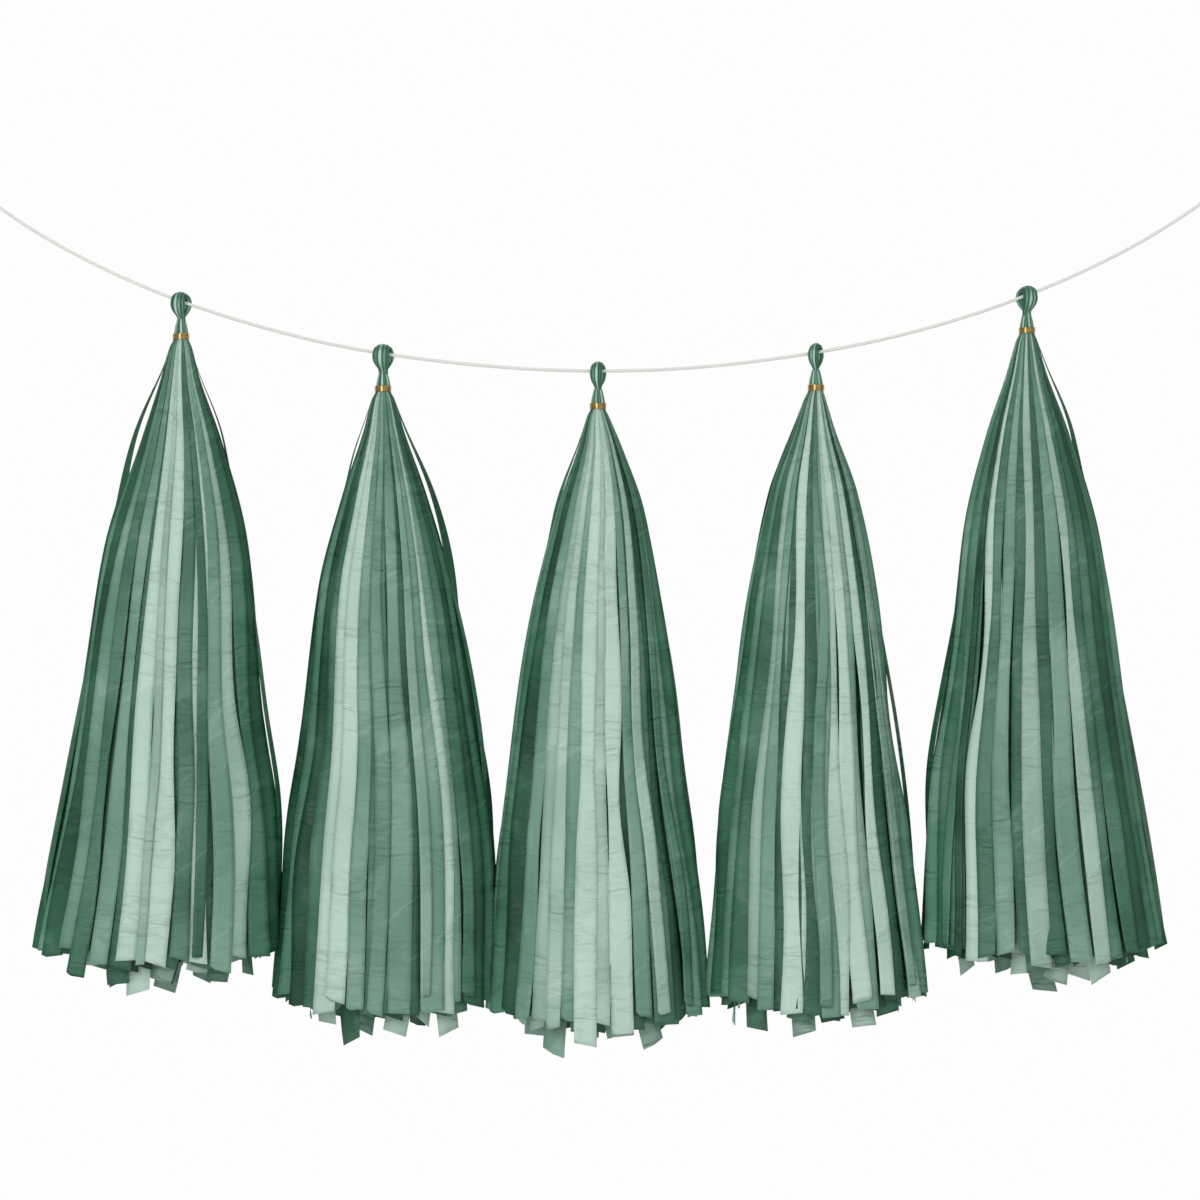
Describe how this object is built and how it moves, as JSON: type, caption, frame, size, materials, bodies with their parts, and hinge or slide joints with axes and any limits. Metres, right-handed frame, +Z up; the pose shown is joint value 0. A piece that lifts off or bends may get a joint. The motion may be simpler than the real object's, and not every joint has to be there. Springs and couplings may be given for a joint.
{
  "type": "tassel garland",
  "caption": "Sagging cord with tied hanging loops that carries a row of fringed paper tassels, each gathered by a metal band; the tassels swing and slide along the cord.",
  "frame": {"origin": "middle of the left hanging loop's eye, where the garland hangs on its hook", "axes": "+X along the row of tassels to the right hanging loop, +Y away from the viewer, +Z up"},
  "size_m": [0.6747, 0.0766, 0.4477],
  "materials": {
    "cord": "smooth twisted cotton twine, warm light grey",
    "pale_paper": "satin pearl paper, pale mint",
    "sage_paper": "satin pearl paper, sage green",
    "forest_paper": "satin pearl paper, forest green",
    "gold_band": "polished gold-coloured metal"
  },
  "bodies": {
    "cord_line": {"cord": "cord", "knot_left": "cord", "knot_right": "cord", "hanging_loop_left": "cord", "hanging_loop_right": "cord", "tassel_3_head_loop": "sage_paper"},
    "tassel_1_head": {"tassel_1_head_loop": "sage_paper"},
    "tassel_1_skirt": {"tassel_1_band": "gold_band", "tassel_1_outer_sheet": "pale_paper", "tassel_1_middle_sheet": "sage_paper", "tassel_1_inner_sheet": "forest_paper"},
    "tassel_2_head": {"tassel_2_head_loop": "sage_paper"},
    "tassel_2_skirt": {"tassel_2_band": "gold_band", "tassel_2_outer_sheet": "pale_paper", "tassel_2_middle_sheet": "sage_paper", "tassel_2_inner_sheet": "forest_paper"},
    "tassel_3_skirt": {"tassel_3_band": "gold_band", "tassel_3_outer_sheet": "pale_paper", "tassel_3_middle_sheet": "sage_paper", "tassel_3_inner_sheet": "forest_paper"},
    "tassel_4_head": {"tassel_4_head_loop": "sage_paper"},
    "tassel_4_skirt": {"tassel_4_band": "gold_band", "tassel_4_outer_sheet": "pale_paper", "tassel_4_middle_sheet": "sage_paper", "tassel_4_inner_sheet": "forest_paper"},
    "tassel_5_head": {"tassel_5_head_loop": "sage_paper"},
    "tassel_5_skirt": {"tassel_5_band": "gold_band", "tassel_5_outer_sheet": "pale_paper", "tassel_5_middle_sheet": "sage_paper", "tassel_5_inner_sheet": "forest_paper"}
  },
  "joints": [
    {"name": "tassel_1_slide", "type": "slide", "parent": "cord_line", "child": "tassel_1_head", "axis": [-0.9091, 0, 0.4167], "range_m": [0, 0.055]},
    {"name": "tassel_1_swing", "type": "hinge", "parent": "tassel_1_head", "child": "tassel_1_skirt", "pos_m": [0.1195, 0, -0.07716], "axis": [1, 0, 0], "range_deg": [-60, 60]},
    {"name": "tassel_2_slide", "type": "slide", "parent": "cord_line", "child": "tassel_2_head", "axis": [-0.9821, 0, 0.1881], "range_m": [0, 0.0255]},
    {"name": "tassel_2_swing", "type": "hinge", "parent": "tassel_2_head", "child": "tassel_2_skirt", "pos_m": [0.2205, 0, -0.10329], "axis": [1, 0, 0], "range_deg": [-60, 60]},
    {"name": "tassel_3_swing", "type": "hinge", "parent": "cord_line", "child": "tassel_3_skirt", "pos_m": [0.328, 0, -0.112], "axis": [1, 0, 0], "range_deg": [-60, 60]},
    {"name": "tassel_4_slide", "type": "slide", "parent": "cord_line", "child": "tassel_4_head", "axis": [0.9803, 0, 0.1977], "range_m": [0, 0.0255]},
    {"name": "tassel_4_swing", "type": "hinge", "parent": "tassel_4_head", "child": "tassel_4_skirt", "pos_m": [0.437, 0, -0.10274], "axis": [1, 0, 0], "range_deg": [-60, 60]},
    {"name": "tassel_5_slide", "type": "slide", "parent": "cord_line", "child": "tassel_5_head", "axis": [0.9031, 0, 0.4294], "range_m": [0, 0.0553]},
    {"name": "tassel_5_swing", "type": "hinge", "parent": "tassel_5_head", "child": "tassel_5_skirt", "pos_m": [0.5425, 0, -0.07411], "axis": [1, 0, 0], "range_deg": [-60, 60]}
  ],
  "couplings": [
    {"joint": "tassel_2_slide", "follows": "tassel_1_slide", "ratio": 0.46278},
    {"joint": "tassel_4_slide", "follows": "tassel_5_slide", "ratio": 0.46064}
  ]
}
